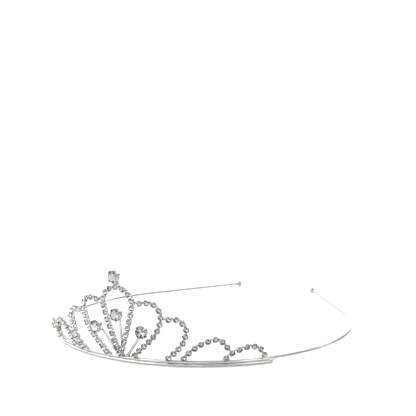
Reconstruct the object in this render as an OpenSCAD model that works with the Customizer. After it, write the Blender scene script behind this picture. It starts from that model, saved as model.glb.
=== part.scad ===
// Bridal tiara: nine rhinestone petals in a comb, soldered on a springy wire headband.
// Millimetres, +Z up. The tiara stands on the XY plane and its front faces -Y. The origin
// is the bottom centre of its bounding box. "Right" is +X, and each left piece mirrors it.

/* [Headband] */
// Diameter of the round headband wire
band_d = 1.3; // [1:0.1:1.8]
// How far the middle of the headband wire lies below the middle of the upper rail
band_drop = 0.2; // [0.1:0.1:0.4]
// Radius of the headband's front curve, to the middle of the wire
front_r = 71.5; // [60:0.5:88]
// Radius of the gentler bend behind the front curve
bend_r = 80.5; // [60:0.5:97]
// Angle by which the straight ends of the arms point inward
inward_angle = 33; // [20:1:40]
// Length of the straight end of each arm
arm_end_l = 64.5; // [40:0.5:78]
// Diameter of the ball on each end of the headband
tip_ball_d = 3.3; // [2:0.1:3.6]

/* [Base] */
// Length along the rails from the middle to each end of the base
base_half_l = 63.9; // [53:0.1:77]
// Diameter of the two base rail wires
rail_d = 1.4; // [1.2:0.1:1.8]
// How much wider than both rails together the solder joint at each end of the base is
rail_joint_margin = 0.5; // [0.3:0.1:1]
// How far the middle of that joint stands past the ends of the rails
rail_joint_past = 0.3; // [0.1:0.1:0.6]
// Length of headband between the end of the base and the start of the gentler bend
shoulder_l = 2; // [1:0.5:6]
// Depth to which soldered pieces sink into each other
solder = 0.1; // [0.05:0.01:0.15]

/* [Petals] */
// Angle by which the petals lean outward from their base
petal_lean = 5.2; // [0:0.1:8]
// Diameter of the wire behind each petal's stones
petal_wire_d = 1.1; // [0.8:0.1:1.4]
// Height of the centre petal's wire, at its middle
center_petal_h = 32.2; // [29:0.1:36]
// Height of the petals beside the centre petal
inner_petal_h = 26.5; // [24:0.1:30]
// Height of the second petals
second_petal_h = 20.2; // [17:0.1:24]
// Height of the third petals
third_petal_h = 11.9; // [10:0.1:14]
// Height of the petals at the ends of the base
end_petal_h = 8.4; // [7:0.1:10]

/* [Small stones] */
// Outer diameter of the cup that holds a small stone
cup_d = 2.8; // [2.3:0.1:2.9]
// Thickness of that cup's prongs
cup_wall = 0.16; // [0.12:0.01:0.24]
// Depth of that cup, from its back to the ends of its prongs
cup_depth = 1.9; // [1.5:0.1:2.4]
// Least gap between neighbouring cups in a petal
cup_gap = 0.1; // [0.05:0.05:0.5]

/* [Large stones] */
// Outer diameter of a large stone's setting
setting_d = 5.8; // [5:0.1:7]
// Depth of that setting, from its back to the ends of its prongs
setting_depth = 3.6; // [3:0.1:4.2]
// Thickness of that setting's prongs
setting_wall = 0.21; // [0.15:0.01:0.35]
// Diameter of the stems behind the large stones
stem_d = 1.2; // [1:0.1:1.6]
// Height of the large stone inside the centre petal
center_stone_h = 20.7; // [18:0.1:23]
// Gap between the setting above the centre petal and that petal's top cup
finial_gap = 0.2; // [0.1:0.1:3]
// Height of the large stones in the inner petals
side_stone_h = 14.4; // [13:0.1:16]
// Gap between the settings of those stones and the cups of the petals round them
side_stone_gap = 0.4; // [0.2:0.1:1.2]
// Distance of the foot of a slanted stem from the middle, along the curve
side_stem_foot_s = 2.2; // [1.8:0.1:4]

/* [Hidden] */

// Finish colours
silver = "#d8dadd";
silver_shade = "#c3c6ca";
crystal = "#eef3f6";

// Facets of round wires, round settings and the long curves
wire_fn = 40;
round_fn = 32;
curve_fn = 180;
// Sides and ring spacing of the headband wire and of a petal's wire
band_sides = 12;
band_ring_gap = 4;
petal_wire_sides = 8;
petal_ring_gap = 1.4;
// Steps between two outline points of a petal
outline_steps = 8;

// Heights of the rails and the headband, and how far in front of it the rails run
lower_rail_z = rail_d / 2;
upper_rail_z = lower_rail_z + rail_d - solder;
rail_top_z = upper_rail_z + rail_d / 2;
band_z = upper_rail_z - band_drop;
rail_out = (band_d + rail_d) / 2 - solder;
rail_joint_d = rail_top_z + rail_joint_margin;
comb_r = front_r + rail_out;
base_angle = base_half_l / comb_r * 180 / PI;
front_angle = base_angle + shoulder_l / front_r * 180 / PI;

// Gap all round between a stone and the prongs, and the diameters that leaves for the stones
stone_clearance = 0.04;
stone_d = cup_d - 2 * (cup_wall + stone_clearance);
large_stone_d = setting_d - 2 * (setting_wall + stone_clearance);
stone_pitch = cup_d + cup_gap;
finial_h = center_petal_h + (setting_d + cup_d) / 2 + finial_gap;

// Places in depth, measured outward from the middle of the petal wires: the backs of all the
// cups and settings, the feet of the stems behind the wires, and their tops behind the settings
cup_out = petal_wire_d / 2 - solder;
stem_foot_out = solder - (petal_wire_d + stem_d) / 2;
stem_top_out = cup_out + solder - stem_d / 2;

// The gap between two prongs is a share of the setting's diameter, and the seat's radius a share
// of the stone's. The heights of the seat and the floor are shares of the setting's depth.
prong_gap_share = 0.45;
seat_share = 0.8;
seat_depth_share = 0.55;
floor_share = 0.1;
// Proportions of a cut stone, as shares of its diameter
table_share = 0.56;
girdle_share = 0.04;
crown_share = 0.16;
pavilion_share = 0.27;

// Lengths of the headband's curves on each side, and its bend's middle
front_l = front_r * front_angle * PI / 180;
bend_l = bend_r * (90 + inward_angle - front_angle) * PI / 180;
bend_center = (front_r - bend_r) * [sin(front_angle), -cos(front_angle)];

// Middle of the headband wire at a length d from its front, and the way it heads there
function band_heading(d) =
    d < front_l ? d / front_r * 180 / PI
    : min(front_angle + (d - front_l) / bend_r * 180 / PI, 90 + inward_angle);
function band_at(d) =
    let (a = band_heading(d), straight = max(d - front_l - bend_l, 0))
    d < front_l ? front_r * [sin(a), -cos(a)]
    : bend_center + bend_r * [sin(a), -cos(a)] + straight * [cos(a), sin(a)];
tip = band_at(front_l + bend_l + arm_end_l);

// A point of the comb: s along the curve, h up, out from the petal wires, about the arc's centre
function place(s, h, out) =
    let (a = s / comb_r * 180 / PI,
         r = comb_r + out * cos(petal_lean) + h * sin(petal_lean))
    [r * sin(a), -r * cos(a), h * cos(petal_lean) - out * sin(petal_lean)];

// The front curve's centre, set back so that the origin is the middle of the bounding box
arc_y = -(place(0, finial_h, cup_out + setting_depth).y + tip.y + tip_ball_d / 2) / 2;

// Outlines of the petals. Along the curve they are shares of the base's half length, and in
// height they are shares of the petal's own height above the rails.
center_outline = [
    [0.023, 0.132], [0.052, 0.322], [0.081, 0.515], [0.103, 0.715],
    [0.104, 0.817], [0.083, 0.908], [0.045, 0.973]
];
outlines = [
    [[0.092, 0], [0.142, 0.147], [0.21, 0.319], [0.266, 0.517], [0.29, 0.765],
     [0.277, 0.887], [0.247, 0.979], [0.202, 1]],
    [[0.311, 0], [0.362, 0.172], [0.421, 0.424], [0.445, 0.745], [0.424, 0.9], [0.385, 0.997]],
    [[0.412, 0], [0.459, 0.391], [0.531, 0.783], [0.615, 1], [0.659, 0.935]],
    [[0.671, 0], [0.723, 0.566], [0.811, 0.956], [0.858, 1], [0.905, 0.832], [0.933, 0.407],
     [0.947, 0]]
];
petal_h = [inner_petal_h, second_petal_h, third_petal_h, end_petal_h];
// Share of the centre petal, the inner petal and the end petal at which a neighbour leans on it
center_touch = 0.348;
inner_touch = 0.565;
end_touch = 0.215;
// Bare wire left between a petal's foot on the rail and its nearest cup, and the distance that
// gives from the foot to the stone
bare_foot = 0.35;
foot_gap = cup_d / 2 + bare_foot;
// How far the centre petal's lowest cup hangs in front of the rail, and the height of its stone
lowest_cup_hang = 0.15;
lowest_stone_h = rail_top_z + cup_d / 2 - lowest_cup_hang;

// Scale an outline to the base's length and to a petal's height
function scaled(outline, height) =
    [for (p = outline) [p.x * base_half_l, rail_top_z + p.y * (height - rail_top_z)]];

// A smooth line through the points between the first and the last of a padded list
function spline_point(p, i, u) =
    0.5 * (2 * p[i] + (p[i + 1] - p[i - 1]) * u
        + (2 * p[i - 1] - 5 * p[i] + 4 * p[i + 1] - p[i + 2]) * u * u
        + (3 * p[i] - p[i - 1] - 3 * p[i + 1] + p[i + 2]) * u * u * u);
function spline(p) = [
    for (i = [1:len(p) - 3], k = [0:outline_steps - 1]) spline_point(p, i, k / outline_steps),
    p[len(p) - 2]
];
function open_spline(p) =
    let (last = len(p) - 1)
    spline(concat([2 * p[0] - p[1]], p, [2 * p[last] - p[last - 1]]));
function closed_spline(p) = spline(concat([p[len(p) - 1]], p, [p[0], p[1]]));

// A line with its running length: [length, s, h] at each point
function measured(line) = [
    for (i = 0, run = 0; i < len(line);
         run = run + norm(line[min(i + 1, len(line) - 1)] - line[i]), i = i + 1)
    [run, line[i].x, line[i].y]
];
function line_length(line) = line[len(line) - 1][0];
function at(line, d) = [
    lookup(d, [for (p = line) [p[0], p[1]]]),
    lookup(d, [for (p = line) [p[0], p[2]]])
];
// Direction of a measured line; one that closes on itself is read across its seam
function heading(line, d, closed) =
    let (step = petal_ring_gap / 4, end = line_length(line),
         before = closed && d < step ? d - step + end : max(d - step, 0),
         after = closed && d > end - step ? d + step - end : min(d + step, end),
         v = at(line, after) - at(line, before))
    v / norm(v);

// The line of each petal's wire, measured. The centre petal stands on the upper rail, and
// the second, third and inner petals lean on a neighbour.
center_bottom = [0, rail_top_z + petal_wire_d / 2 - solder];
center_half = scaled(center_outline, center_petal_h);
center_line = measured(closed_spline(concat(
    [center_bottom], center_half, [[0, center_petal_h]],
    [for (i = [len(center_half) - 1:-1:0]) [-center_half[i].x, center_half[i].y]]
)));
end_line = measured(open_spline(scaled(outlines[3], end_petal_h)));
inner_line = leaning_line(0, center_line, center_touch);
second_line = leaning_line(1, inner_line, inner_touch);
third_line = leaning_line(2, end_line, end_touch);
side_lines = [inner_line, second_line, third_line, end_line];
function leaning_line(k, neighbour, share) =
    measured(open_spline(concat(scaled(outlines[k], petal_h[k]),
        [at(neighbour, share * line_length(neighbour))])));

// Distances of the stones along a side petal, evenly spaced and never closer than the pitch
function side_stones(k) =
    let (line = side_lines[k],
         last_gap = k == 3 ? foot_gap : stone_pitch + (cup_d - petal_wire_d) / 4,
         room = line_length(line) - foot_gap - last_gap,
         gaps = floor(room / stone_pitch))
    [for (i = [0:gaps]) foot_gap + i * room / gaps];
// The centre petal's first pair of stones sits where the petal is wide enough for both cups, and
// where they clear the cup below them
function foot_room(p) = min(2 * p[1], norm([p[1], p[2] - lowest_stone_h]));
center_foot_gap = lookup(cup_d,
    [for (p = center_line) if (p[0] < line_length(center_line) / 4) [foot_room(p), p[0]]]);
function center_stones() =
    let (room = line_length(center_line) - 2 * center_foot_gap,
         gaps = floor(room / stone_pitch))
    [for (i = [0:gaps]) center_foot_gap + i * room / gaps];

// Distance from the middle, along the curve, of the stones inside the inner petals. Each stands
// its gap away from the cups on that petal's outer side.
side_reach = (setting_d + cup_d) / 2 + side_stone_gap;
side_stone_s = min([
    for (p = inner_line) if (abs(p[2] - side_stone_h) < side_reach)
    p[1] - sqrt(pow(side_reach, 2) - pow(p[2] - side_stone_h, 2))
]);

module on_stand() {
    translate([0, arc_y, 0]) children();
}

// Right pieces as drawn, left pieces mirrored
module on_side(side) {
    mirror([side == "left" ? 1 : 0, 0, 0]) on_stand() children();
}

// Face outward at a point of the comb, turned in the plane of the petal
module on_comb(s, h, out, turn) {
    translate(place(s, h, out))
        rotate([90 + petal_lean, 0, s / comb_r * 180 / PI])
            rotate([0, 0, turn])
                children();
}

// A length of round wire bent to a radius, from one angle to another
module wire_arc(radius, wire_d, from, to) {
    rotate([0, 0, from])
        rotate_extrude(angle = to - from, $fn = curve_fn)
            translate([radius, 0]) circle(d = wire_d, $fn = wire_fn);
}

// A straight round wire between two points
module wire_between(a, b, wire_d) {
    v = b - a;
    translate(a)
        rotate([0, acos(v.z / norm(v)), atan2(v.y, v.x)])
            cylinder(d = wire_d, h = norm(v), $fn = wire_fn);
}

// A tube through a list of rings of points. It is capped, or it closes on itself.
module tube(rings, closed) {
    sides = len(rings[0]);
    last = len(rings) - 1;
    skin = [
        for (i = [0:closed ? last : last - 1], k = [0:sides - 1])
        let (a = i * sides, b = ((i + 1) % (last + 1)) * sides, n = (k + 1) % sides)
        each [[a + k, a + n, b + n], [a + k, b + n, b + k]]
    ];
    caps = closed ? [] : [
        [for (k = [sides - 1:-1:0]) k],
        [for (k = [0:sides - 1]) last * sides + k]
    ];
    polyhedron([for (ring = rings) each ring], concat(skin, caps));
}

// One wire from tip to tip: rings along each curve, and one at the end of each arm
module headband_wire() {
    curve_l = front_l + bend_l;
    count = ceil(curve_l / band_ring_gap);
    right = concat([for (i = [0:count]) i * curve_l / count], [curve_l + arm_end_l]);
    left = [for (i = [len(right) - 1:-1:1]) -right[i]];
    rings = [
        for (d = concat(left, right))
        let (p = band_at(abs(d)), a = band_heading(abs(d)), mirrored = d < 0 ? -1 : 1)
        [for (k = [0:band_sides - 1])
            let (turn = k * 360 / band_sides, r = band_d / 2 * cos(turn))
            [mirrored * (p.x + r * sin(a)), p.y - r * cos(a), band_z + band_d / 2 * sin(turn)]]
    ];
    color(silver) on_stand() tube(rings, false);
}

// A ball with a blind bore that takes the end of the headband wire
module tip_ball(side) {
    color(silver) on_side(side)
        translate([tip.x, tip.y, band_z])
            difference() {
                sphere(d = tip_ball_d, $fn = wire_fn);
                rotate([90, 0, inward_angle])
                    cylinder(d = band_d, h = tip_ball_d, $fn = wire_fn);
            }
}

module rail_wire(z) {
    translate([0, 0, z]) wire_arc(comb_r, rail_d, -90 - base_angle, base_angle - 90);
}

module rail(z) {
    color(silver) on_stand() rail_wire(z);
}

// A bead of solder cast round the ends of both rails and the headband wire beside them
module rail_joint(side) {
    color(silver_shade) on_side(side)
        difference() {
            rotate([0, 0, base_angle - 90])
                translate([front_r + rail_out / 2, rail_joint_past, rail_joint_d / 2])
                    sphere(d = rail_joint_d, $fn = wire_fn);
            rail_wire(lower_rail_z);
            rail_wire(upper_rail_z);
            translate([0, 0, band_z]) wire_arc(front_r, band_d, -90, front_angle);
        }
}

// Sweep the petal wire along a measured line, stopping short of its end by a given length
module petal_wire(line, closed, stop_short) {
    length = line_length(line) - stop_short;
    count = ceil(length / petal_ring_gap);
    rings = [
        for (i = [0:closed ? count - 1 : count])
        let (d = i * length / count, p = at(line, d), v = heading(line, d, closed))
        [for (k = [0:petal_wire_sides - 1])
            let (turn = k * 360 / petal_wire_sides, across = petal_wire_d / 2 * cos(turn))
            place(p.x - v.y * across, p.y + v.x * across, petal_wire_d / 2 * sin(turn))]
    ];
    tube(rings, closed);
}

// A stone's setting: a cup with a stepped bore, slotted crosswise into four prongs
module setting(outer_d, depth, gem_d) {
    bore_r = gem_d / 2 + stone_clearance;
    seat_r = gem_d / 2 * seat_share;
    seat_z = depth * seat_depth_share;
    floor_z = depth * floor_share;
    slot_w = outer_d * prong_gap_share;
    difference() {
        rotate_extrude($fn = round_fn)
            polygon([
                [0, 0], [outer_d / 2, 0], [outer_d / 2, depth], [bore_r, depth],
                [bore_r, seat_z], [seat_r, seat_z], [seat_r, floor_z], [0, floor_z]
            ]);
        for (turn = [0, 90])
            rotate([0, 0, turn])
                translate([-outer_d, -slot_w / 2, seat_z + solder])
                    cube([2 * outer_d, slot_w, depth]);
    }
}

// A cut stone resting on the seat of its setting
module gem(gem_d, depth) {
    slope = pavilion_share * 2;
    girdle_z = depth * seat_depth_share + gem_d / 2 * (1 - seat_share) * slope;
    girdle_top = girdle_z + gem_d * girdle_share;
    rotate_extrude($fn = round_fn)
        polygon([
            [0, girdle_z - gem_d / 2 * slope], [gem_d / 2, girdle_z], [gem_d / 2, girdle_top],
            [gem_d / 2 * table_share, girdle_top + gem_d * crown_share],
            [0, girdle_top + gem_d * crown_share]
        ]);
}

// Put a small cup or stone at each distance along a petal
module along_petal(line, distances) {
    for (d = distances)
        let (p = at(line, d), v = heading(line, d, false))
            on_comb(p.x, p.y, cup_out, atan2(v.y, v.x))
                children();
}

// The same round the centre petal, with one more at its foot
module around_center_petal() {
    along_petal(center_line, center_stones()) children();
    on_comb(0, lowest_stone_h, cup_out, 0) children();
}

module small_cup() {
    setting(cup_d, cup_depth, stone_d);
}

module small_stone() {
    gem(stone_d, cup_depth);
}

module center_petal_wire() {
    color(silver) on_stand() petal_wire(center_line, true, 0);
}

module center_petal_cups() {
    color(silver) on_stand() around_center_petal() small_cup();
}

module center_petal_stones() {
    color(crystal) on_stand() around_center_petal() small_stone();
}

module side_petal_wire(k, side) {
    color(silver) on_side(side)
        petal_wire(side_lines[k], false, k == 3 ? 0 : petal_wire_d / 2 - solder);
}

module side_petal_cups(k, side) {
    color(silver) on_side(side) along_petal(side_lines[k], side_stones(k)) small_cup();
}

module side_petal_stones(k, side) {
    color(crystal) on_side(side) along_petal(side_lines[k], side_stones(k)) small_stone();
}

// Stems stand on the headband wire, behind the petals, and lean forward to their settings
stem_foot_h = band_z + band_d / 2 - solder;

module center_stem() {
    color(silver) on_stand()
        wire_between(place(0, stem_foot_h, stem_foot_out),
            place(0, center_stone_h, stem_top_out), stem_d);
}

module side_stem(side) {
    color(silver) on_side(side)
        wire_between(place(side_stem_foot_s, stem_foot_h, stem_foot_out),
            place(side_stone_s, side_stone_h, stem_top_out), stem_d);
}

// A post on top of the centre petal's wire
module finial_post() {
    color(silver) on_stand()
        wire_between(place(0, center_petal_h + petal_wire_d / 2 - solder, stem_top_out),
            place(0, finial_h, stem_top_out), stem_d);
}

module large_setting() {
    setting(setting_d, setting_depth, large_stone_d);
}

module large_stone() {
    gem(large_stone_d, setting_depth);
}

module center_setting() {
    color(silver) on_stand() on_comb(0, center_stone_h, cup_out, 0) large_setting();
}

module center_large_stone() {
    color(crystal) on_stand() on_comb(0, center_stone_h, cup_out, 0) large_stone();
}

module side_setting(side) {
    color(silver) on_side(side)
        on_comb(side_stone_s, side_stone_h, cup_out, 0) large_setting();
}

module side_large_stone(side) {
    color(crystal) on_side(side)
        on_comb(side_stone_s, side_stone_h, cup_out, 0) large_stone();
}

module finial_setting() {
    color(silver) on_stand() on_comb(0, finial_h, cup_out, 0) large_setting();
}

module finial_large_stone() {
    color(crystal) on_stand() on_comb(0, finial_h, cup_out, 0) large_stone();
}

petal_names = ["inner_petal", "second_petal", "third_petal", "end_petal"];

headband_wire();
rail(lower_rail_z);  // lower_rail
rail(upper_rail_z);  // upper_rail
center_petal_wire();
center_petal_cups();
center_petal_stones();
center_stem();
finial_post();
center_setting();
center_large_stone();
finial_setting();
finial_large_stone();
for (side = ["right", "left"]) {
    tip_ball(side);
    rail_joint(side);
    side_stem(side);
    side_setting(side);
    side_large_stone(side);
    for (k = [0:3]) {
        petal = str(petal_names[k], "_", side);
        side_petal_wire(k, side);
        side_petal_cups(k, side);
        side_petal_stones(k, side);
    }
}
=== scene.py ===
# Bridal tiara: silver-plated wire, stamped cups and foiled crystals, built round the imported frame.
# All lengths in the settings are millimetres; meshes are in metres.
import math
import bpy
import numpy as np
from mathutils import Matrix, Vector


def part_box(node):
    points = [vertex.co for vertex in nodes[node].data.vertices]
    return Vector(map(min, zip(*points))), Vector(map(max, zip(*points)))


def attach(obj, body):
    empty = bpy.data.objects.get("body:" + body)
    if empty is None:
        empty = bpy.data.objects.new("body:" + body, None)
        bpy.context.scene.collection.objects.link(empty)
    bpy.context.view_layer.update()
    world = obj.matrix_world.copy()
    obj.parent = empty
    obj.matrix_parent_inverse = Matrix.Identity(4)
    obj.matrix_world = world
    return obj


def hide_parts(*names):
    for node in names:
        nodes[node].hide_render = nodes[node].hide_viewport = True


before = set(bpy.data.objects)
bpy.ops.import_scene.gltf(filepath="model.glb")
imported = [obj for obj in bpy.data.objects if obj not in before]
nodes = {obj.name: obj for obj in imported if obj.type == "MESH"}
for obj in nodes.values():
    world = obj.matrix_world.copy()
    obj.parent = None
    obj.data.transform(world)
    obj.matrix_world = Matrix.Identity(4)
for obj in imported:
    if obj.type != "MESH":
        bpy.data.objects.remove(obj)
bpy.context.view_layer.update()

mm = 0.001
petals = sorted(name.removesuffix("_wire") for name in nodes
                if "_petal_" in name and name.endswith("_wire"))
sideSigns = {"right": 1, "left": -1}
rng = np.random.default_rng(7)
print("frame loaded:", len(nodes), "nodes,", len(petals), "petals")


# A node's vertices in mm with equal ones merged, and its triangles
def weldedMesh(node):
    mesh = nodes[node].data
    points = np.empty(len(mesh.vertices) * 3, np.float32)
    mesh.vertices.foreach_get("co", points)
    corners = np.empty(len(mesh.loops), np.int32)
    mesh.loops.foreach_get("vertex_index", corners)
    keys = np.round(points.reshape(-1, 3) / mm, 3)  # to a thousandth of a millimetre
    merged, place = np.unique(keys, axis=0, return_inverse=True)
    return merged, place.reshape(-1)[corners].reshape(-1, 3)


# The pairs of vertices that the triangles' sides join
def sides(triangles):
    return np.vstack([triangles[:, [0, 1]], triangles[:, [1, 2]], triangles[:, [2, 0]]])


# Numbers the groups of vertices that edges join: each takes its lowest neighbour's label until
# none changes
def islands(count, edges):
    label = np.arange(count)
    while True:
        lowest = label[edges].min(1)
        found = label.copy()
        np.minimum.at(found, edges[:, 0], lowest)
        np.minimum.at(found, edges[:, 1], lowest)
        found = found[found]
        if (found == label).all():
            return np.unique(label, return_inverse=True)[1].reshape(-1)
        label = found


# Mean of each group's points
def groupMeans(points, label):
    total = np.zeros((label.max() + 1, 3))
    np.add.at(total, label, points)
    return total / np.bincount(label)[:, None]


# The middle line of a swept wire: its rings are the groups that edges much shorter than the wire's
# thickness join, and the longer edges say which ring follows which. Returns the line, the wire's
# radius and whether the wire closes on itself.
def wireLine(node, thickness, shortShare=0.6):
    points, triangles = weldedMesh(node)
    edges = sides(triangles)
    length = np.linalg.norm(points[edges[:, 0]] - points[edges[:, 1]], axis=1)
    ring = islands(len(points), edges[length < shortShare * thickness])
    middle = groupMeans(points, ring)
    radius = np.linalg.norm(points - middle[ring], axis=1).mean()
    pairs = np.unique(np.sort(ring[edges], axis=1), axis=0)
    pairs = pairs[pairs[:, 0] != pairs[:, 1]]
    neighbours = np.bincount(pairs.ravel(), minlength=len(middle))
    closed = neighbours.min() > 1
    order = [int(neighbours.argmin()) if not closed else 0]
    while len(order) < len(middle):
        around = pairs[(pairs == order[-1]).any(1)].ravel()
        order.append(int([r for r in around if r not in order][0]))
    return middle[order], radius, closed


# Middle of the table, outward axis and radius of the stones in a node: a stone's axis is the direction
# in which its points spread least, and its table lies furthest along it
def stonePlaces(node):
    points, triangles = weldedMesh(node)
    label = islands(len(points), sides(triangles))
    middle = groupMeans(points, label)
    spread = np.zeros((len(middle), 3, 3))
    offset = points - middle[label]
    np.add.at(spread, label, offset[:, :, None] * offset[:, None, :])
    axis = np.linalg.eigh(spread)[1][:, :, 0]
    outward = middle - headCentre
    outward[:, 2] = 0
    axis = axis * np.sign((axis * outward).sum(1))[:, None]
    along = (offset * axis[label]).sum(1)
    front = np.full(len(middle), -np.inf)
    np.maximum.at(front, label, along)
    across = np.linalg.norm(offset - along[:, None] * axis[label], axis=1).max()
    return middle + front[:, None] * axis, axis, across


# Circle that fits a bent rail's points best, seen from above: its centre, radius and half angle, and
# the height and half thickness of the rail
def railArc(node):
    points = weldedMesh(node)[0]
    a = np.column_stack([2 * points[:, 1], np.ones(len(points))])
    b = (points[:, :2] ** 2).sum(1)
    centreY, constant = np.linalg.lstsq(a, b, rcond=None)[0]
    angle = np.abs(np.arctan2(points[:, 0], centreY - points[:, 1])).max()
    low, high = points[:, 2].min(), points[:, 2].max()
    return centreY, math.sqrt(constant + centreY ** 2), angle, (low + high) / 2, (high - low) / 2


# A smooth line through points: long gaps are first filled evenly, then each stretch is a
# Catmull-Rom curve
def smoothLine(points, closed, steps):
    gap = np.linalg.norm(np.diff(points, axis=0), axis=1)
    fills = np.maximum(np.round(gap / np.median(gap)), 1).astype(int)
    along = np.concatenate([i + np.arange(n) / n for i, n in enumerate(fills)] + [[len(gap)]])
    points = np.column_stack([np.interp(along, np.arange(len(points)), points[:, k]) for k in range(3)])
    if closed:
        padded = np.vstack([points[-1:], points, points[:2]])
    else:
        padded = np.vstack([2 * points[:1] - points[1:2], points, 2 * points[-1:] - points[-2:-1]])
    u = (np.arange(steps) / steps)[None, :, None]
    p0, p1, p2, p3 = (padded[k:len(padded) - 3 + k][:, None, :] for k in range(4))
    curve = 0.5 * (2 * p1 + (p2 - p0) * u + (2 * p0 - 5 * p1 + 4 * p2 - p3) * u ** 2
                   + (3 * p1 - p0 - 3 * p2 + p3) * u ** 3)
    curve = curve.reshape(-1, 3)
    return curve if closed else np.vstack([curve, points[-1:]])


# Vectors divided by their length
def unit(v):
    return v / np.linalg.norm(v, axis=-1, keepdims=True)


# Direction of a line at each of its points: from the point before to the point after
def tangents(line, closed):
    if closed:
        return unit(np.roll(line, -1, 0) - np.roll(line, 1, 0))
    return unit(np.gradient(line, axis=0))


# A grid of points [rows, columns] as vertices and faces. Columns close on themselves; rows do if asked,
# and otherwise the first and last row end in a pole.
def gridMesh(grid, rowsClosed, poles=None):
    rows, columns = grid.shape[:2]
    vertices = grid.reshape(-1, 3)
    i = np.arange(rows if rowsClosed else rows - 1)[:, None]
    k = np.arange(columns)[None, :]
    a, b = i * columns, (i + 1) % rows * columns
    n = (k + 1) % columns
    quads = np.stack([a + k, a + n, b + n, b + k], -1).reshape(-1, 4).tolist()
    if poles is not None:
        vertices = np.vstack([vertices, poles])
        last = (rows - 1) * columns
        k, n = k.ravel(), n.ravel()
        first = np.stack([n, k, np.full(columns, rows * columns)], -1)
        final = np.stack([last + k, last + n, np.full(columns, rows * columns + 1)], -1)
        quads = quads + first.tolist() + final.tolist()
    return vertices, quads


# Turns at which a wire's domed end has its rings, from the pole to the wire
domeTurns = np.radians([70, 45, 20])


# A round wire: rings carried along a line, square to it, with one side turned to "up". The radius may
# change along the line and differ sideways; each open end is domed by rings that close on a pole.
def sweep(line, radius, up, count, closed=False, dome=0.6, flat=1.0):
    direction = tangents(line, closed)
    radius = np.broadcast_to(np.asarray(radius, float), (len(line),)).copy()
    up = np.broadcast_to(np.asarray(up, float), line.shape)
    run = np.concatenate([[0], np.cumsum(np.linalg.norm(np.diff(line, axis=0), axis=1))])
    poles = None

    # the first and the last value repeated, for the rings of both domes
    def extended(values):
        rings = len(domeTurns)
        return np.concatenate([np.repeat(values[:1], rings, 0), values, np.repeat(values[-1:], rings, 0)])

    if not closed:
        rise, shrink = dome * np.sin(domeTurns), np.cos(domeTurns)
        head = line[0] - direction[0] * (radius[0] * rise)[:, None]
        tail = line[-1] + direction[-1] * (radius[-1] * rise[::-1])[:, None]
        poles = np.vstack([line[0] - direction[0] * radius[0] * dome,
                           line[-1] + direction[-1] * radius[-1] * dome])
        line = np.vstack([head, line, tail])
        radius = np.concatenate([radius[0] * shrink, radius, radius[-1] * shrink[::-1]])
        direction, up, run = extended(direction), extended(up), extended(run)
    side = unit(np.cross(direction, up))
    top = np.cross(side, direction)
    turn = np.linspace(0, 2 * math.pi, count, endpoint=False)
    ring = np.cos(turn)[None, :, None] * side[:, None] * flat + np.sin(turn)[None, :, None] * top[:, None]
    grid = line[:, None] + radius[:, None, None] * ring
    vertices, faces = gridMesh(grid, closed, poles)
    # the wire's own space: as if it lay straight, for marks that run along it
    own = np.stack([np.cos(turn)[None, :] * radius[:, None], np.sin(turn)[None, :] * radius[:, None],
                    np.broadcast_to(run[:, None], grid.shape[:2])], -1).reshape(-1, 3)
    if poles is not None:
        own = np.vstack([own, [0, 0, run[0]], [0, 0, run[-1]]])
    return {"vertices": vertices, "faces": faces, "own": own}


# The same template set down at many places: each is turned by its own three axes and moved
def copies(template, origins, axes):
    shape = template["vertices"]
    vertices = np.einsum("kij,ni->knj", axes, shape) + origins[:, None]
    count = len(shape)
    faces = [[c + shift for c in face] for shift in range(0, len(origins) * count, count)
             for face in template["faces"]]
    made = {"vertices": vertices.reshape(-1, 3), "faces": faces}
    for key in ("own", "depth"):
        if key in template:
            made[key] = np.concatenate([template[key]] * len(origins))
    if "slots" in template:
        made["slots"] = template["slots"] * len(origins)
    return made


# One object from several shapes, riding on the body and standing for CAD nodes. Edges sharper than
# a number of degrees stay sharp; with none, every face is flat.
def makePiece(name, shapes, materials, replaced, sharp=40):
    vertices, faces, slots, start = [], [], [], 0
    for shape in shapes:
        vertices.append(shape["vertices"])
        faces += [[c + start for c in face] for face in shape["faces"]]
        slots += shape.get("slots", [0] * len(shape["faces"]))
        start += len(shape["vertices"])
    mesh = bpy.data.meshes.new(name)
    mesh.from_pydata((np.vstack(vertices) * mm).tolist(), [], faces)
    for key, kind, wide in (("own", "FLOAT_VECTOR", 3), ("depth", "FLOAT", 1)):
        if all(key in shape for shape in shapes):
            values = np.concatenate([np.asarray(s[key], np.float32).reshape(-1, wide) for s in shapes])
            layer = mesh.attributes.new(key, kind, "POINT")
            layer.data.foreach_set("vector" if wide == 3 else "value", values.ravel())
    for material in materials:
        mesh.materials.append(material)
    mesh.polygons.foreach_set("material_index", slots)
    if sharp:
        mesh.polygons.foreach_set("use_smooth", [True] * len(faces))
        mesh.set_sharp_from_angle(angle=math.radians(sharp))
    mesh.update()
    piece = bpy.data.objects.new(name, mesh)
    bpy.context.scene.collection.objects.link(piece)
    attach(piece, "root")
    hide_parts(*replaced)
    return piece


# sRGB hex to the linear colour that a shader reads: the sRGB curve undone, channel by channel
def linear(code):
    c = np.array([int(code[k:k + 2], 16) for k in (1, 3, 5)]) / 255
    c = np.where(c <= 0.04045, c / 12.92, ((c + 0.055) / 1.055) ** 2.4)
    return (*c.tolist(), 1.0)


# Adds a node, sets its values by input or by property name, and links its inputs
def addNode(tree, kind, values=None, links=None):
    node = tree.nodes.new(kind)
    for name, value in (values or {}).items():
        if isinstance(name, int) or name in node.inputs:
            node.inputs[name].default_value = value
        else:
            setattr(node, name, value)
    for name, source in (links or {}).items():
        tree.links.new(source, node.inputs[name])
    return node


# An empty material and its tree
def newMaterial(name):
    material = bpy.data.materials.new(name)
    material.use_nodes = True
    material.node_tree.nodes.clear()
    return material, material.node_tree


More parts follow.
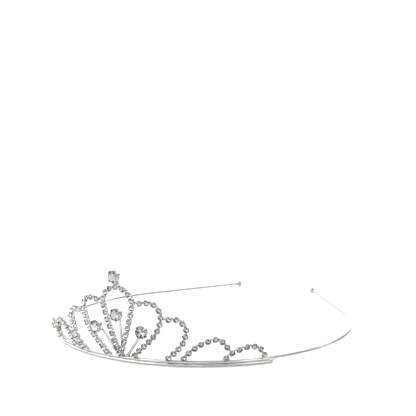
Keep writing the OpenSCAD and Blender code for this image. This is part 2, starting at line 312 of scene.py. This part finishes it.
# The material's one shader, with its values and links, on the output
def finishShader(tree, values, links):
    shader = addNode(tree, "ShaderNodeBsdfPrincipled", values, links)
    addNode(tree, "ShaderNodeOutputMaterial", links={"Surface": shader.outputs["BSDF"]})


# A cloudy factor whose clouds have a given size, over the object or over a given space
def noise(tree, size, detail=2.0, space=None):
    if space is None:
        space = addNode(tree, "ShaderNodeTexCoord").outputs["Object"]
    return addNode(tree, "ShaderNodeTexNoise", {"Scale": 1 / size, "Detail": detail},
                   {"Vector": space}).outputs["Fac"]


# A factor stretched from one range to another
def mapRange(tree, factor, target, source=(0.0, 1.0)):
    values = {"From Min": source[0], "From Max": source[1], "To Min": target[0], "To Max": target[1]}
    return addNode(tree, "ShaderNodeMapRange", values, {"Value": factor}).outputs["Result"]


# Two colours mixed by a factor
def mixTones(tree, first, second, factor):
    values = {"data_type": "RGBA", 6: linear(first), 7: linear(second)}
    return addNode(tree, "ShaderNodeMix", values, {0: factor}).outputs[2]


# A metal's tone, roughness and relief on the shader; the relief's full height is in mm
def finishMetal(tree, tone, roughness, height, strength, distance):
    bump = addNode(tree, "ShaderNodeBump", {"Strength": strength, "Distance": distance * mm},
                   {"Height": height})
    finishShader(tree, {"Metallic": 1.0},
                 {"Base Color": tone, "Roughness": roughness, "Normal": bump.outputs["Normal"]})


# Bright silver plating on wire: a mirror with faint marks along the wire from the drawing die, and
# cloudy patches where the plating is a little duller. Bright lines run along it, and edges stay grey.
def platedWire(name, look):
    material, tree = newMaterial(name)
    own = addNode(tree, "ShaderNodeAttribute", {"attribute_name": "own"})
    stretched = addNode(tree, "ShaderNodeVectorMath",
                        {"operation": "MULTIPLY", 1: (1, 1, look["markStretch"])},
                        {0: own.outputs["Vector"]})
    marks = noise(tree, look["markWidth"], look["markDetail"], stretched.outputs["Vector"])
    clouds = noise(tree, look["cloudSize"] * mm)
    finishMetal(tree, mixTones(tree, look["bright"], look["dull"], clouds),
                mapRange(tree, clouds, look["roughness"], look["cloudRange"]),
                marks, look["markStrength"], look["markHeight"])
    return material


# Silver plating on stamped brass cups: bright on the prongs and the outside, and darkened deep inside by
# painted shade, a near-black tone that stands for the shadow in the cup's hollow. The stamping leaves
# shallow dents.
def platedCup(name, look):
    material, tree = newMaterial(name)
    depth = addNode(tree, "ShaderNodeAttribute", {"attribute_name": "depth"})
    dents = noise(tree, look["dentSize"] * mm)
    # painted shade: the deeper inside the cup, the nearer the plating's tone comes to the near-black
    # shade tone
    paintedShade = addNode(tree, "ShaderNodeMath", {"operation": "MULTIPLY", 1: look["paintedShade"]},
                      {0: depth.outputs["Fac"]})
    finishMetal(tree, mixTones(tree, look["bright"], look["dark"], paintedShade.outputs["Value"]),
                mapRange(tree, dents, look["roughness"]), dents, look["dentStrength"], look["dentHeight"])
    return material


# Tin-silver solder that flowed and froze: satin, a little uneven, paler than the plating round it
def tinSolder(name, look):
    material, tree = newMaterial(name)
    ripples = noise(tree, look["rippleSize"] * mm, look["rippleDetail"])
    finishMetal(tree, mixTones(tree, look["bright"], look["dull"], ripples),
                mapRange(tree, ripples, look["roughness"]), ripples,
                look["rippleStrength"], look["rippleHeight"])
    return material


# Machine-cut lead crystal: clear, colourless and sharp, with a polishing haze too fine to see
def leadCrystal(name, look):
    material, tree = newMaterial(name)
    haze = noise(tree, look["hazeSize"] * mm)
    finishShader(tree, {"Base Color": linear(look["tint"]), "Transmission Weight": 1.0,
                        "IOR": look["index"]},
                 {"Roughness": mapRange(tree, haze, look["haze"], look["hazeRange"])})
    return material


# Silver foil painted over on the stone's back: the mirror that makes the facets flash
def silverFoil(name, look):
    material, tree = newMaterial(name)
    grain = noise(tree, look["grainSize"] * mm)
    finishShader(tree, {"Metallic": 1.0},
                 {"Base Color": mixTones(tree, look["bright"], look["dull"], grain),
                  "Roughness": mapRange(tree, grain, look["roughness"])})
    return material


# Sizes and heights are in mm; strengths, details and ranges are shares
wireLook = {"bright": "#c6c6c2", "dull": "#bcbcb8", "roughness": (0.08, 0.2), "cloudSize": 3.0,
            "cloudRange": (0.35, 0.7), "markWidth": 0.12, "markDetail": 3.0, "markStretch": 0.04,
            "markStrength": 0.25, "markHeight": 0.02}
bandLook = dict(wireLook, bright="#aeaeaa", dull="#a0a09c", markStrength=0.4, roughness=(0.1, 0.22))
# dark is the near-black painted shade that the cups take deep inside, scaled by the cup's depth attribute
cupLook = {"bright": "#c0c0bc", "dark": "#121214", "paintedShade": 1.0, "roughness": (0.1, 0.25),
           "dentSize": 0.5, "dentStrength": 0.2, "dentHeight": 0.05}
solderLook = {"bright": "#d0d0cc", "dull": "#b8b8b4", "roughness": (0.22, 0.42), "rippleSize": 0.6,
              "rippleDetail": 4.0, "rippleStrength": 0.5, "rippleHeight": 0.1}
crystalLook = {"tint": "#fdfefe", "index": 1.56, "haze": (0.0, 0.03), "hazeRange": (0.4, 0.8),
               "hazeSize": 0.4}
foilLook = {"bright": "#c4c4c2", "dull": "#b0b0b0", "roughness": (0.02, 0.05), "grainSize": 0.3}
silverBand = platedWire("silver_plated_spring_wire", bandLook)
silverWire = platedWire("silver_plated_soft_wire", wireLook)
silverCup = platedCup("silver_plated_stamped_brass", cupLook)
solder = tinSolder("tin_silver_solder", solderLook)
crystal = leadCrystal("cut_lead_crystal", crystalLook)
foil = silverFoil("silver_foil_back", foilLook)
print("materials made")


railY, _, _, _, railThick = railArc("lower_rail")
headCentre = np.array([0, railY, 0])
up = np.array([0.0, 0.0, 1.0])

# The springy headband: the CAD wire's middle line made smooth, a hair thinner than the CAD wire
bandSettings = {"wireThickness": 1.3, "sides": 20, "steps": 3, "inset": 0.002}
bandLine, bandRadius, _ = wireLine("headband_wire", bandSettings["wireThickness"])
bandSmooth = smoothLine(bandLine, False, bandSettings["steps"])
bandShape = sweep(bandSmooth, bandRadius - bandSettings["inset"], up, bandSettings["sides"])
makePiece("headband", [bandShape], [silverBand], ["headband_wire"])

# lineStep: how many points along the wire give the direction in which the ball is pressed on
ballSettings = {"collarLength": 0.35, "collarRadius": 0.86, "poleAngle": 0.05, "dome": 0.05,
                "lineStep": 4, "rows": 18, "columns": 24, "sharp": 60}


# A polished ball pressed on the wire's end: a circle turned round the wire's line, with a narrow collar
def tipBall(side):
    line = bandSmooth if bandSmooth[0][0] * sideSigns[side] > 0 else bandSmooth[::-1]
    low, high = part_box("tip_ball_" + side)
    centre = np.array((low + high) / 2) / mm
    radius = min(high - low) / 2 / mm
    direction = unit(line[0] - line[ballSettings["lineStep"]])
    start = math.asin(ballSettings["collarRadius"] / radius)
    turn = np.linspace(math.pi - start, ballSettings["poleAngle"], ballSettings["rows"])
    collar = math.cos(turn[0]) * radius - ballSettings["collarLength"]
    along = np.concatenate([[collar], radius * np.cos(turn)])
    around = np.concatenate([[ballSettings["collarRadius"]], radius * np.sin(turn)])
    return sweep(centre + direction * along[:, None], around, up, ballSettings["columns"],
                 dome=ballSettings["dome"])


for side in sideSigns:
    makePiece("tip_ball_polished_" + side, [tipBall(side)], [silverBand],
              ["tip_ball_" + side], sharp=ballSettings["sharp"])

railSettings = {"points": 121, "sides": 20, "dome": 0.3}


# The middle line of a rail: even steps round its circle, from end to end
def railLine(node):
    centreY, radius, halfAngle, z, _ = railArc(node)
    turn = np.linspace(-1, 1, railSettings["points"]) * halfAngle
    level = np.full(len(turn), z)
    return np.column_stack([radius * np.sin(turn), centreY - radius * np.cos(turn), level])


for node in ("lower_rail", "upper_rail"):
    railShape = sweep(railLine(node), railThick, up, railSettings["sides"], dome=railSettings["dome"])
    makePiece(node + "_wire", [railShape], [silverWire], [node])

# before and after: the bead's reach along the wire on either side of its middle. Towards each end the
# bead loses a share of its height, by a power of the way there.
beadSettings = {"before": 2.0, "after": 1.6, "height": 1.45, "flat": 0.93, "rise": 0.15, "dome": 0.35,
                "beforeLoss": 0.45, "beforePower": 2.5, "afterLoss": 0.62, "afterPower": 1.6,
                "rows": 24, "columns": 24}


# Solder bead at the end of the base: it swells over both rails and runs out along the headband wire
def endBead(side):
    bead = beadSettings
    low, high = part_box("rail_joint_" + side)
    centre = np.array((low + high) / 2) / mm
    radius = math.hypot(centre[0], railY - centre[1])
    t = np.linspace(-1, 1, bead["rows"])
    arc = np.where(t < 0, t * bead["before"], t * bead["after"])
    angle = math.atan2(abs(centre[0]), railY - centre[1]) + arc / radius
    line = np.column_stack([sideSigns[side] * radius * np.sin(angle), railY - radius * np.cos(angle),
                            centre[2] + bead["rise"] * np.maximum(t, 0) ** 2])
    swell = np.where(t < 0, 1 - bead["beforeLoss"] * np.abs(t) ** bead["beforePower"],
                     1 - bead["afterLoss"] * np.abs(t) ** bead["afterPower"])
    return sweep(line, bead["height"] * swell, up, bead["columns"], flat=bead["flat"], dome=bead["dome"])


for side in sideSigns:
    makePiece("end_solder_bead_" + side, [endBead(side)], [solder], ["rail_joint_" + side],
              sharp=None)
print("headband and base made")


# footFlare: the share by which a foot on the rail swells; flareLength: how far up that reaches
petalSettings = {"wireThickness": 1.1, "sides": 12, "steps": 3, "footFlare": 0.35, "flareLength": 1.2}
petalLines = {}


# Level direction from the head's middle to each point
def outwardFrom(points):
    away = points - headCentre
    away[:, 2] = 0
    return unit(away)


# A petal's wire along its smoothed middle line; its foot on the rail swells with solder and thins out
# with the square of the distance
def petalWire(name):
    points, radius, closed = wireLine(name + "_wire", petalSettings["wireThickness"])
    line = smoothLine(points, closed, petalSettings["steps"])
    petalLines[name] = line
    foot = line[0] if line[0][2] < line[-1][2] else line[-1]
    along = np.linalg.norm(line - foot, axis=1)
    flare = 1 + petalSettings["footFlare"] * np.exp(-(along / petalSettings["flareLength"]) ** 2)
    if closed:
        flare = 1.0
    return sweep(line, radius * flare, outwardFrom(line), petalSettings["sides"], closed)


for name in petals:
    makePiece(name + "_wire_smooth", [petalWire(name)], [silverWire],
              [name + "_wire"])
print("petal wires made")


# A round brilliant of radius 1 with its girdle at height 0: a table of eight sides, eight stars, eight
# kites and sixteen halves above, the girdle, and eight mains and sixteen halves below, which carry the
# foil.
# Each kite lies in one plane, so its side corners sit where that plane meets their radius.
def brilliant(cut):
    eighth = np.arange(8) * math.pi / 4
    between = eighth + math.pi / 8
    sixteenth = np.arange(16) * math.pi / 8
    girdleTop = cut["girdle"]
    crown, table, kite = cut["crown"], cut["table"], cut["kite"]
    kiteZ = girdleTop + crown * (1 - kite * math.cos(math.pi / 8)) / (1 - table)
    mainZ = -cut["pavilion"] * (1 - cut["main"] * math.cos(math.pi / 8))

    # points at the given turns round the axis, at one radius and one height
    def circle(angle, radius, z):
        return np.column_stack([radius * np.cos(angle), radius * np.sin(angle), np.full(len(angle), z)])

    vertices = np.vstack([circle(eighth, table, girdleTop + crown), circle(between, kite, kiteZ),
                          circle(sixteenth, 1, girdleTop), circle(sixteenth, 1, 0),
                          circle(between, cut["main"], mainZ), [[0, 0, -cut["pavilion"]]]])
    t, m, g, b, p, culet = 0, 8, 16, 32, 48, 56
    faces = [[t + k for k in range(8)]]
    for k in range(8):
        n, back = (k + 1) % 8, (k - 1) % 8
        faces += [[t + n, t + k, m + k], [t + k, m + back, g + 2 * k, m + k],
                  [m + k, g + 2 * k, g + 2 * k + 1], [m + k, g + 2 * k + 1, g + (2 * k + 2) % 16]]
    faces += [[g + (k + 1) % 16, g + k, b + k, b + (k + 1) % 16] for k in range(16)]
    crownFaces = len(faces)
    for k in range(8):
        back = (k - 1) % 8
        faces += [[culet, p + k, b + 2 * k, p + back], [p + k, b + 2 * k + 1, b + 2 * k],
                  [p + k, b + (2 * k + 2) % 16, b + 2 * k + 1]]
    slots = [0] * crownFaces + [1] * (len(faces) - crownFaces)
    return {"vertices": vertices, "faces": faces, "slots": slots}


# edge: the rounding of the lip; heel and fillet: of the corners at the cup's foot, outside and inside;
# slope: the angle over which a prong's side falls to the lip
cupCorners = {"edge": 0.08, "heel": 0.1, "fillet": 0.12, "slope": 3}


# A stamped cup with four prongs. Two profiles run from the middle of the back, up the outside, over the
# top and down to the floor: one through the gap between prongs, and one through a prong, bent in over
# the stone. Round the cup, each column takes one of the two, and the prongs narrow towards their ends.
def cup(radius, size):
    wall, lip, tip, bend, base, floor = (size[k] for k in ("wall", "lip", "tip", "bend", "base", "floor"))
    edge, heel, fillet, slope = (cupCorners[k] for k in ("edge", "heel", "fillet", "slope"))
    inner, end, rise = radius - wall, radius - bend, tip - lip
    outside = [[base * 0.5, 0], [base, 0], [base + edge, heel], [radius, lip * 0.75]]
    inside = [[base - wall * 0.4, floor + fillet], [base - wall - heel, floor], [base * 0.4, floor]]
    gapTop = [[radius, lip - edge], [radius - wall * 0.2, lip], [radius - wall * 0.35, lip],
              [radius - wall * 0.5, lip], [radius - wall * 0.65, lip], [radius - wall * 0.8, lip],
              [inner, lip - edge]]
    prongTop = [[radius, lip + rise * 0.45], [radius - bend * 0.25, lip + rise * 0.8],
                [radius - bend * 0.65, tip], [end - wall * 0.3, tip - wall * 0.25],
                [end - wall * 0.2, tip - wall * 0.75], [radius - bend * 0.6, tip - wall * 1.1],
                [inner, lip + rise * 0.3]]
    gap, prong = np.array(outside + gapTop + inside), np.array(outside + prongTop + inside)
    # point by point: how far a prong has narrowed, and how deep inside the cup the point lies, which sets
    # how much painted shade darkens the plating there
    narrowed = np.array([0, 0, 0, 0, 0.3, 0.7, 1, 1, 1, 0.7, 0.3, 0, 0, 0])
    depth = np.array([0, 0, 0, 0, 0, 0, 0, 0.1, 0.3, 0.5, 0.8, 1, 1, 1.0])
    taper = 1 - (1 - size["tipShare"]) * narrowed
    # eight columns for each prong, the last one in the middle of the gap that follows
    half, gapMiddle = size["prongAngle"], 45
    offsets = np.array([-half - slope, -half, -half / 2, 0, half / 2, half, half + slope, gapMiddle])
    isProng = np.array([0, 1, 1, 1, 1, 1, 0, 0.0])
    narrowing = np.where(offsets < gapMiddle, taper[:, None], 1.0)
    centres = np.array([45, 135, 225, 315])[:, None]
    angle = np.radians(centres + (offsets * narrowing)[:, None]).reshape(len(taper), -1)
    mix = np.tile(isProng, len(centres))[None, :, None]
    profile = gap[:, None] * (1 - mix) + prong[:, None] * mix
    out, height = profile[..., 0], profile[..., 1]
    grid = np.stack([out * np.cos(angle), out * np.sin(angle), height], -1)
    vertices, faces = gridMesh(grid, False, np.array([[0, 0, 0], [0, 0, floor]]))
    return {"vertices": vertices, "faces": faces,
            "depth": np.concatenate([np.repeat(depth, grid.shape[1]), [0, 1]])}


# Axes of each stone: across is the way the wire runs past it, and the third is its own outward axis
def stoneAxes(place, axis, line):
    nearest = np.linalg.norm(place[:, None] - line[None], axis=2).argmin(1)
    along = tangents(line, False)[nearest]
    across = unit(along - (along * axis).sum(1)[:, None] * axis)
    return np.stack([across, np.cross(axis, across), axis], 1)


# Small random turns about each stone's own axes, so that no two flash alike
def unevenly(axes, degrees, turnDegrees):
    tilt = np.radians(rng.normal(0, degrees, (len(axes), 2)))
    turn = np.radians(rng.normal(0, turnDegrees, len(axes)))
    a, b, c = axes[:, 0], axes[:, 1], axes[:, 2]
    c = unit(c + tilt[:, :1] * a + tilt[:, 1:] * b)
    a = unit(np.cos(turn)[:, None] * a + np.sin(turn)[:, None] * b)
    a = unit(a - (a * c).sum(1)[:, None] * c)
    return np.stack([a, np.cross(c, a), c], 1)


# Heights and radii of the cut, as shares of the stone's radius
cut = {"table": 0.56, "crown": 0.32, "girdle": 0.08, "kite": 0.86, "pavilion": 0.54, "main": 0.78}
# A cup's lengths in mm and angles in degrees: lip is its height between the prongs, tip the prongs'
# height, bend how far they lean over the stone, base the radius of its foot, and prongAngle half the
# width of a prong. The turns and tilts are the spreads of the small random ones.
smallSettings = {"wall": 0.16, "lip": 1.17, "tip": 1.66, "bend": 0.42, "base": 1.22, "floor": 0.19,
                 "prongAngle": 15, "tipShare": 0.6, "tilt": 2.5, "turn": 6, "cupTilt": 0.5, "cupTurn": 3,
                 "sharp": 35}
gem = brilliant(cut)


# Puts a stone at each place, its table at the place, and a cup round it with its back at the given depth
def setStones(places, axes, stoneRadius, cupShape, backDepth, look):
    stones = dict(gem, vertices=gem["vertices"] * stoneRadius)
    tableHeight = (cut["girdle"] + cut["crown"]) * stoneRadius
    turned = unevenly(axes, look["tilt"], look["turn"])
    seats = places - tableHeight * axes[:, 2]
    cups = unevenly(axes, look["cupTilt"], look["cupTurn"])
    backs = places - backDepth * axes[:, 2]
    return copies(stones, seats, turned), copies(cupShape, backs, cups)


# A petal's stones and cups at the places of its CAD stones
def dressPetal(name):
    places, axis, stoneRadius = stonePlaces(name + "_stones")
    axes = stoneAxes(places, axis, petalLines[name])
    shape = cup(smallRadius, smallSettings)
    stones, cups = setStones(places, axes, stoneRadius, shape, smallBack, smallSettings)
    makePiece(name + "_crystals", [stones], [crystal, foil], [name + "_stones"],
              sharp=None)
    makePiece(name + "_claw_cups", [cups], [silverCup], [name + "_cups"],
              sharp=smallSettings["sharp"])


# How far a setting's back lies behind its stone's table, and its radius: both are measured on the CAD
# solid nearest to the node's first stone
def settingSize(cupNode, stoneNode):
    places, axis, _ = stonePlaces(stoneNode)
    points, triangles = weldedMesh(cupNode)
    solid = islands(len(points), sides(triangles))
    nearest = np.linalg.norm(groupMeans(points, solid) - places[0], axis=1).argmin()
    offset = points[solid == nearest] - places[0]
    along = offset @ axis[0]
    across = np.linalg.norm(offset - along[:, None] * axis[0], axis=1)
    return -along.min(), across.max()


smallBack, smallRadius = settingSize("center_petal_cups", "center_petal_stones")
print("small setting", round(smallBack, 3), round(smallRadius, 3))
for name in petals:
    dressPetal(name)
print("small stones set")

largeSettings = {"wall": 0.24, "lip": 2.15, "tip": 3.36, "bend": 0.75, "base": 2.35, "floor": 0.36,
                 "prongAngle": 9, "tipShare": 0.7, "tilt": 1.5, "turn": 4, "cupTilt": 0.5, "cupTurn": 2,
                 "sharp": 35}
for cupNode in sorted(name for name in nodes if name.endswith("_setting") or "_setting_" in name):
    stoneNode = cupNode.replace("setting", "large_stone")
    back, radius = settingSize(cupNode, stoneNode)
    places, axis, stoneRadius = stonePlaces(stoneNode)
    # the first axis lies level
    across = unit(np.cross(axis, up))
    axes = np.stack([-across, np.cross(axis, -across), axis], 1)
    stones, cups = setStones(places, axes, stoneRadius, cup(radius, largeSettings), back, largeSettings)
    makePiece(stoneNode + "_brilliant", [stones], [crystal, foil], [stoneNode],
              sharp=None)
    makePiece(cupNode + "_claws", [cups], [silverCup], [cupNode],
              sharp=largeSettings["sharp"])
print("large stones set")


stemSettings = {"rows": 24, "sides": 14, "footFlare": 0.5, "flareLength": 1.0, "dome": 0.3}


# A straight stem between the ends of its CAD solid, with a solder fillet that swells its foot and thins
# out with the square of the distance
def stem(node):
    points = weldedMesh(node)[0]
    middle = points.mean(0)
    axis = np.linalg.svd(points - middle)[2][0]
    axis = axis * np.sign(axis[2])
    along = (points - middle) @ axis
    radius = np.linalg.norm(points - middle - along[:, None] * axis, axis=1).max()
    t = np.linspace(along.min(), along.max(), stemSettings["rows"])
    flare = 1 + stemSettings["footFlare"] * np.exp(-((t - t[0]) / stemSettings["flareLength"]) ** 2)
    line = middle + t[:, None] * axis
    return sweep(line, radius * flare, outwardFrom(line), stemSettings["sides"],
                 dome=stemSettings["dome"])


for node in ("center_stem", "side_stem_right", "side_stem_left", "finial_post"):
    makePiece(node + "_round", [stem(node)], [silverWire], [node])
print("stems made")


# Angles are in degrees and lengths in mm, except that the floor's width and the camera's near and far
# limits are in metres. The camera's right and up say where the headband's front lies in its view.
studio = {"azimuth": 26.76, "elevation": 3.89, "distance": 276.9, "right": -35.15, "up": -63.74,
          "lens": 57.33, "sensor": 36, "near": 0.01, "far": 100,
          "floorWidth": 30.0, "floorFibre": 2.0, "floorRoughness": 0.9, "tentLevel": 2.0}

# Soft dark openings in the tent: azimuth, elevation, the angles from its middle at which each is still
# fully dark and at which it ends, and how much light it leaves
openings = [(25, 66, 42, 45, 0.01), (100, 22, 20, 28, 0.1), (155, 8, 14, 22, 0.08),
            (42, 8, 14, 15, 0.0), (5, 22, 13, 14, 0.0)]

# Soft lights: name, azimuth, elevation, spread and strength
lights = [("key", -30, 50, 60, 1.6), ("fill", 70, 50, 60, 1.0)]


# White paper the tiara stands on
def whiteFloor():
    material, tree = newMaterial("matt_white_paper")
    tone = mixTones(tree, "#ffffff", "#fbfbfb", noise(tree, studio["floorFibre"] * mm))
    finishShader(tree, {"Roughness": studio["floorRoughness"]}, {"Base Color": tone})
    half = studio["floorWidth"] / 2
    corners = [(-half, -half, 0), (half, -half, 0), (half, half, 0), (-half, half, 0)]
    mesh = bpy.data.meshes.new("floor")
    mesh.from_pydata(corners, [], [[0, 1, 2, 3]])
    mesh.materials.append(material)
    floor = bpy.data.objects.new("floor", mesh)
    bpy.context.scene.collection.objects.link(floor)


# A far, very soft light that reaches the whole floor alike
def softLight(name, azimuth, elevation, spread, strength):
    light = bpy.data.lights.new(name, "SUN")
    light.angle = math.radians(spread)
    light.energy = strength
    lamp = bpy.data.objects.new(name, light)
    lamp.rotation_euler = Vector(skyDirection(azimuth, elevation)).to_track_quat("Z", "Y").to_euler()
    bpy.context.scene.collection.objects.link(lamp)


# Direction of a place in the sky: azimuth 0 lies in front of the tiara and 90 to its right
def skyDirection(azimuth, elevation):
    a, e = math.radians(azimuth), math.radians(elevation)
    return (math.sin(a) * math.cos(e), -math.cos(a) * math.cos(e), math.sin(e))


# White tent all round. Every opening darkens the sky near its direction, smoothly towards its edge, and
# the metal and the facets reflect them.
def tent():
    world = bpy.data.worlds.new("tent")
    world.use_nodes = True
    tree = world.node_tree
    tree.nodes.clear()
    place = addNode(tree, "ShaderNodeTexCoord")
    direction = addNode(tree, "ShaderNodeVectorMath", {"operation": "NORMALIZE"},
                        {0: place.outputs["Generated"]})
    light = None
    for azimuth, elevation, inner, outer, dark in openings:
        facing = addNode(tree, "ShaderNodeVectorMath",
                         {"operation": "DOT_PRODUCT", 1: skyDirection(azimuth, elevation)},
                         {0: direction.outputs["Vector"]})
        fade = addNode(tree, "ShaderNodeMapRange",
                       {"interpolation_type": "SMOOTHSTEP", "From Min": math.cos(math.radians(outer)),
                        "From Max": math.cos(math.radians(inner)), "To Min": 1.0, "To Max": dark},
                       {"Value": facing.outputs["Value"]})
        kept = fade.outputs["Result"]
        light = kept if light is None else addNode(
            tree, "ShaderNodeMath", {"operation": "MULTIPLY"}, {0: light, 1: kept}).outputs[0]
    strength = addNode(tree, "ShaderNodeMath", {"operation": "MULTIPLY", 1: studio["tentLevel"]},
                       {0: light})
    background = addNode(tree, "ShaderNodeBackground", {"Color": linear("#ffffff")},
                         {"Strength": strength.outputs["Value"]})
    addNode(tree, "ShaderNodeOutputWorld", links={"Surface": background.outputs["Background"]})
    bpy.context.scene.world = world


# The camera looks almost level and sees the tiara low and to the left of its middle
def placeCamera():
    back = Vector(skyDirection(studio["azimuth"], studio["elevation"]))
    right = Vector((0, 0, 1)).cross(back).normalized()
    upward = back.cross(right)
    bandFront = Vector((0, bandLine[:, 1].min(), 0))
    data = bpy.data.cameras.new("camera")
    data.sensor_width = studio["sensor"]
    data.lens = studio["lens"]
    data.clip_start, data.clip_end = studio["near"], studio["far"]
    camera = bpy.data.objects.new("camera", data)
    camera.location = (bandFront + back * studio["distance"] - right * studio["right"]
                       - upward * studio["up"]) * mm
    camera.rotation_euler = Matrix((right, upward, back)).transposed().to_euler()
    bpy.context.scene.collection.objects.link(camera)
    bpy.context.scene.camera = camera


whiteFloor()
placeCamera()
tent()
for light in lights:
    softLight(*light)
bpy.context.scene.view_settings.view_transform = "Standard"
print("studio made")
